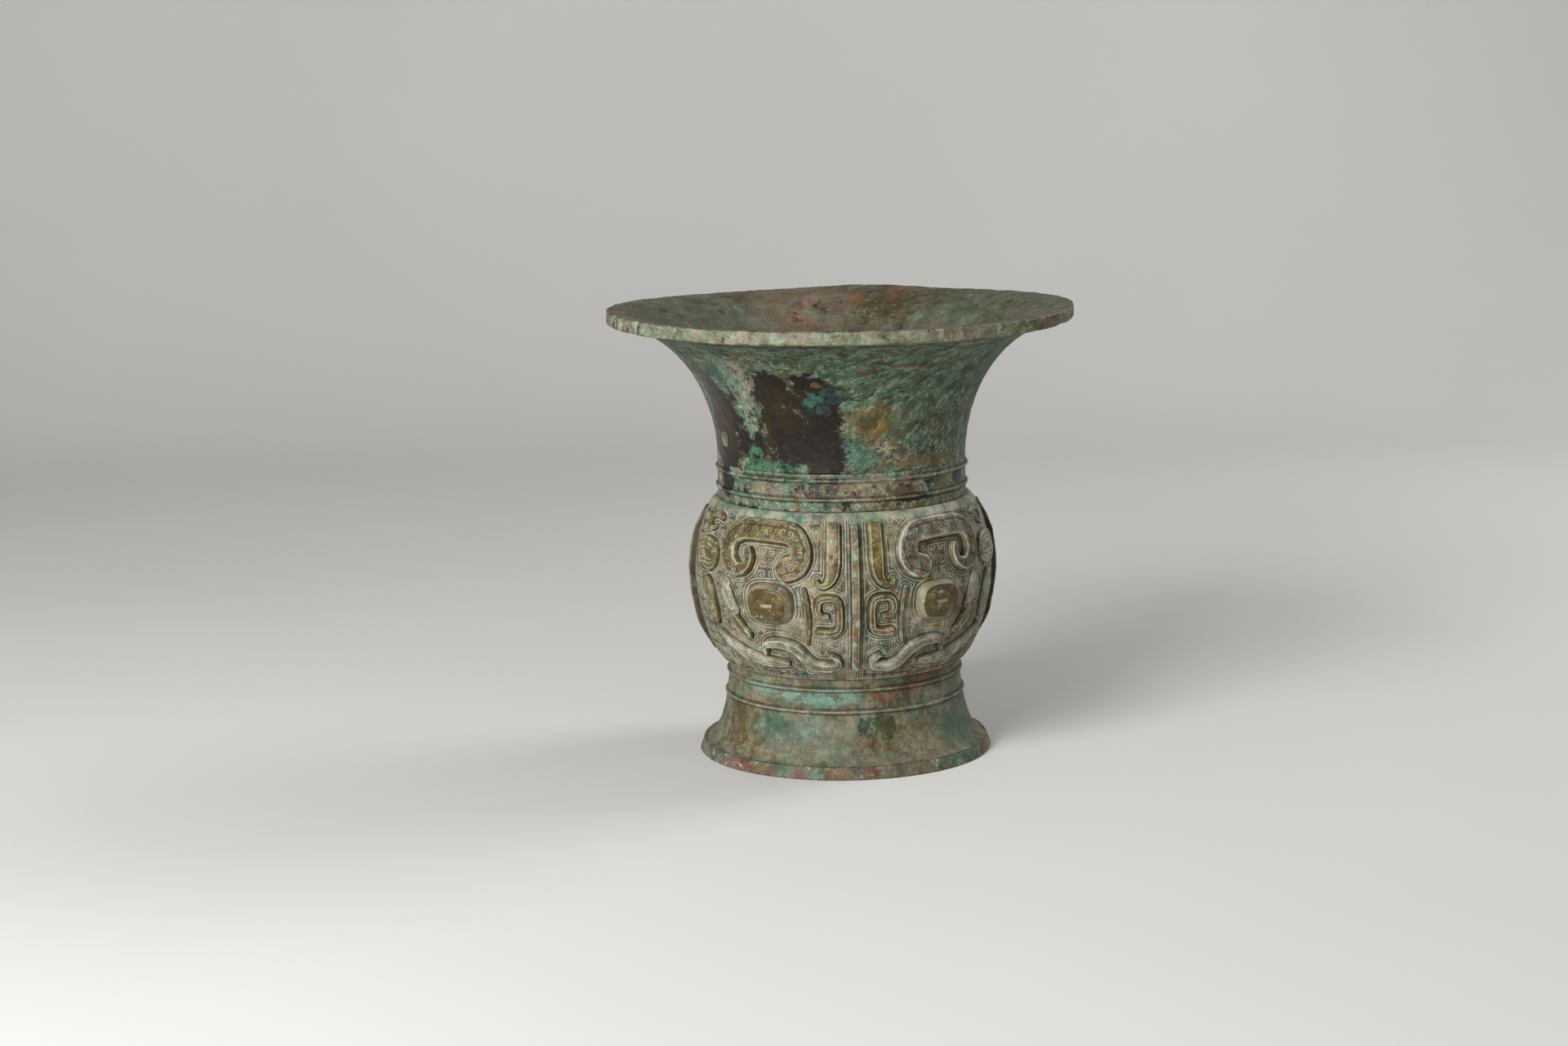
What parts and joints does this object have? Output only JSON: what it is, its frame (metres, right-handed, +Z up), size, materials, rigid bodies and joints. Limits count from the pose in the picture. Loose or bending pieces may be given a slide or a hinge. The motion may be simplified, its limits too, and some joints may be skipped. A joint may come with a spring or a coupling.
{
  "type": "bronze zun wine vessel",
  "caption": "Free-standing cast bronze wine vessel: wide trumpet mouth, round belly with relief masks and flanges, flared hollow foot.",
  "frame": {"origin": "centre of the foot's underside, on the ground", "axes": "+Z up along the vessel's axis; one flange faces -Y, so the camera of the picture stands at -Y"},
  "size_m": [0.25, 0.25, 0.242],
  "materials": {
    "foot_bronze": "cast bronze, green and tan patina, pinkish earth along the foot's band",
    "inner_bronze": "cast bronze, brown oxide with green and earth deposits",
    "chaplet_bronze": "bronze spacer of another alloy, ochre brown",
    "belly_bronze": "cast bronze, greyish tan earth and pale green in fine spiral grooves",
    "collar_bronze": "cast bronze, tan encrustation over green and brown",
    "neck_bronze": "cast bronze, malachite green with smooth dark brown patches",
    "lip_bronze": "cast bronze, pale green and tan, worn along the edge",
    "flange_bronze": "cast bronze, dark brown with tan in the hatching",
    "relief_bronze": "cast bronze, olive brown where handling polished it"
  },
  "bodies": {
    "root": {"foot_band": "foot_bronze", "foot_ring": "foot_bronze", "foot_lower_cord": "foot_bronze", "foot_upper_cord": "foot_bronze", "vessel_floor": "inner_bronze", "floor_chaplets": "chaplet_bronze", "belly_wall": "belly_bronze", "neck_collar": "collar_bronze", "collar_lower_cord": "collar_bronze", "collar_upper_cord": "collar_bronze", "trumpet_neck": "neck_bronze", "neck_chaplets": "chaplet_bronze", "mouth_lip": "lip_bronze", "front_flange": "flange_bronze", "right_flange": "flange_bronze", "back_flange": "flange_bronze", "left_flange": "flange_bronze", "right_mask_horns": "relief_bronze", "right_mask_eyes": "relief_bronze", "right_mask_body_bars": "relief_bronze", "right_mask_claws": "relief_bronze", "right_mask_cheeks": "relief_bronze", "right_mask_jaws": "relief_bronze", "right_mask_lips": "relief_bronze", "right_mask_nostrils": "relief_bronze", "right_mask_snout_scrolls": "relief_bronze", "right_mask_noses": "relief_bronze", "right_mask_foreheads": "relief_bronze", "right_mask_brows": "relief_bronze", "left_mask_horns": "relief_bronze", "left_mask_eyes": "relief_bronze", "left_mask_body_bars": "relief_bronze", "left_mask_claws": "relief_bronze", "left_mask_cheeks": "relief_bronze", "left_mask_jaws": "relief_bronze", "left_mask_lips": "relief_bronze", "left_mask_nostrils": "relief_bronze", "left_mask_snout_scrolls": "relief_bronze", "left_mask_noses": "relief_bronze", "left_mask_foreheads": "relief_bronze", "left_mask_brows": "relief_bronze"}
  },
  "joints": []
}
